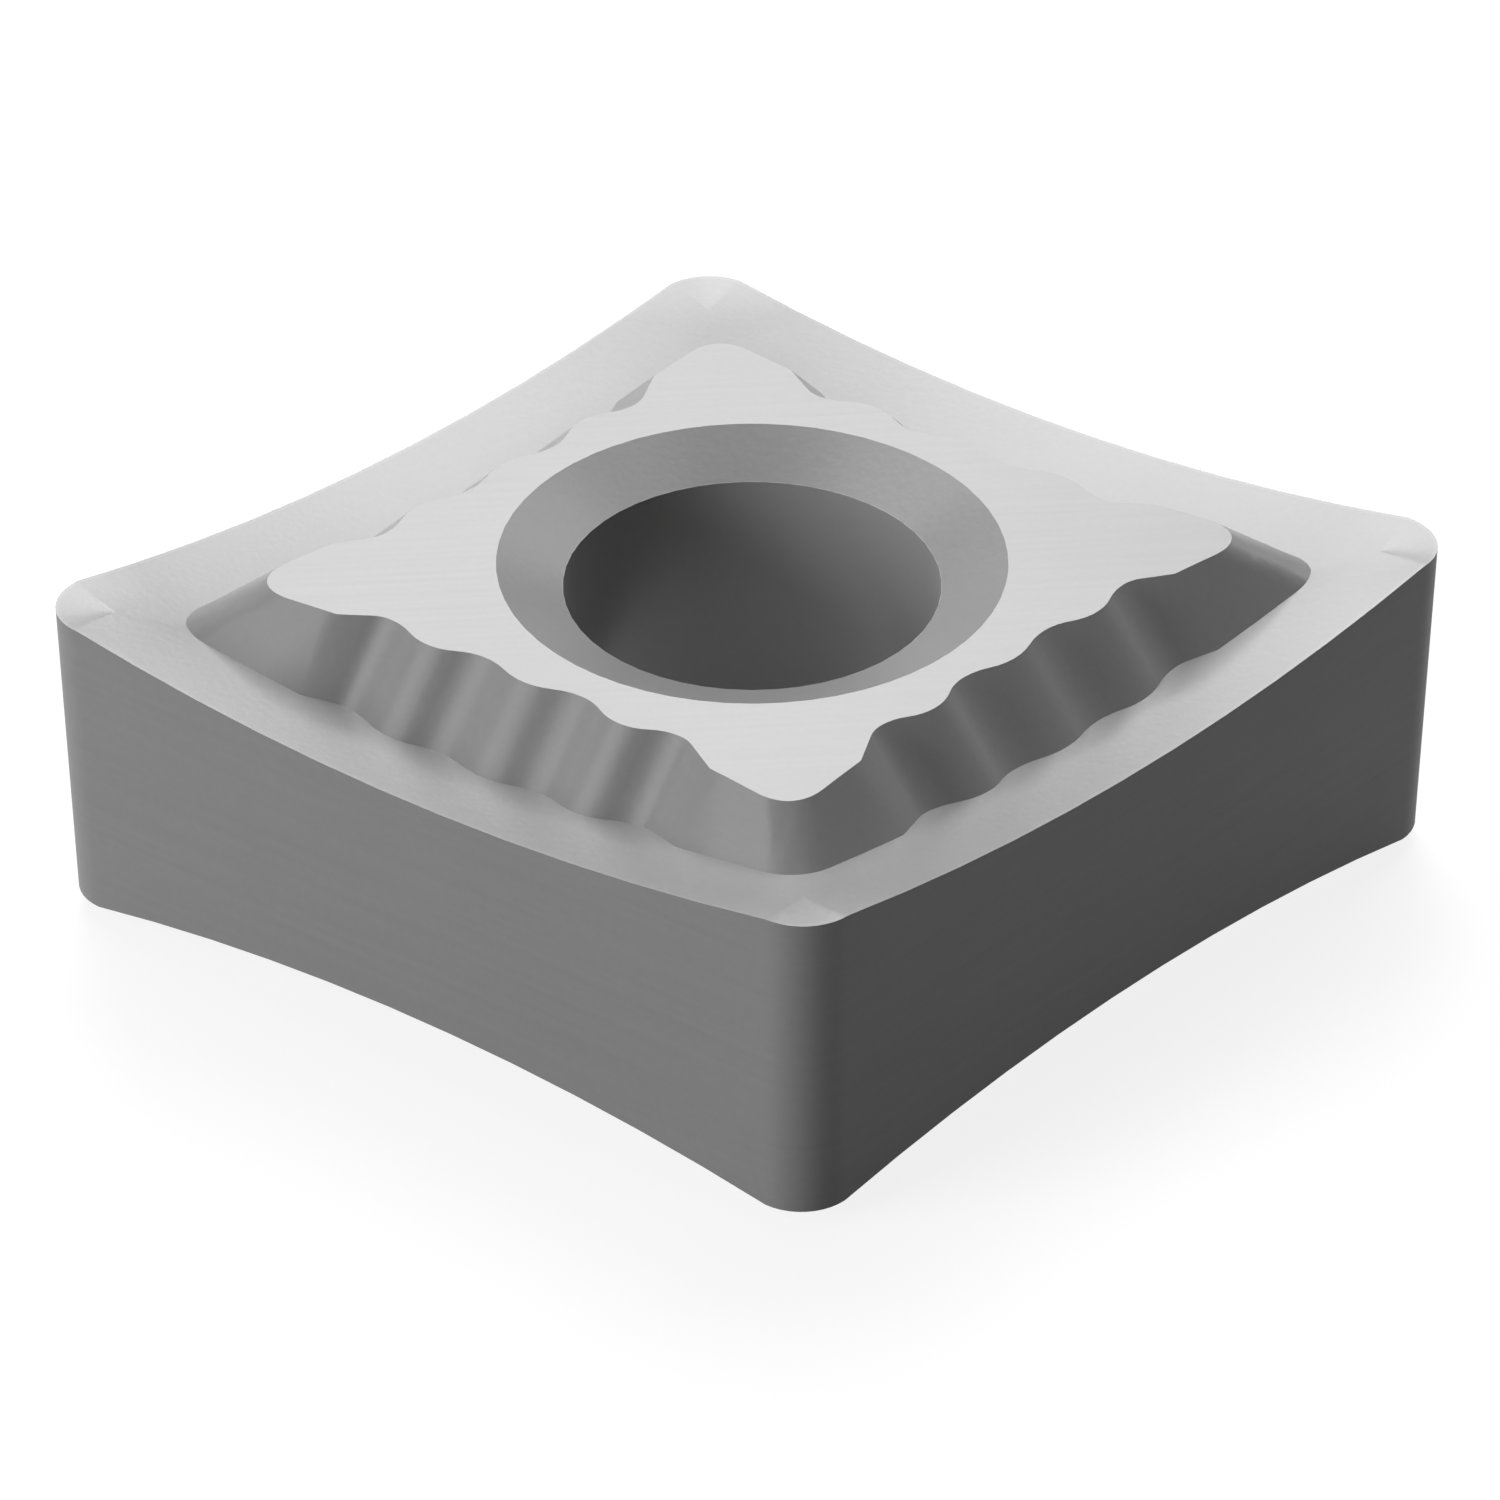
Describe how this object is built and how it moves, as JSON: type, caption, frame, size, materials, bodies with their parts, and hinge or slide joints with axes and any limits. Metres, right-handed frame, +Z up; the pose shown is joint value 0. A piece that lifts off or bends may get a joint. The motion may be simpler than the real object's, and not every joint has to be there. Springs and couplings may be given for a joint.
{
  "type": "carbide insert",
  "caption": "Double-sided rhombic turning insert with rounded noses, a curved cutting edge on each side, a scalloped chipbreaker island and a countersunk clamping hole.",
  "frame": {"origin": "centre of the lower seat face, on the axis of the clamping hole", "axes": "+X along the long diagonal of the rhombus, +Y along the short diagonal, +Z up along the hole"},
  "size_m": [0.0188, 0.016, 0.0051],
  "materials": {
    "carbide": "sintered carbide, satin, with ground flanks"
  },
  "bodies": {
    "root": {"insert": "carbide"}
  },
  "joints": []
}
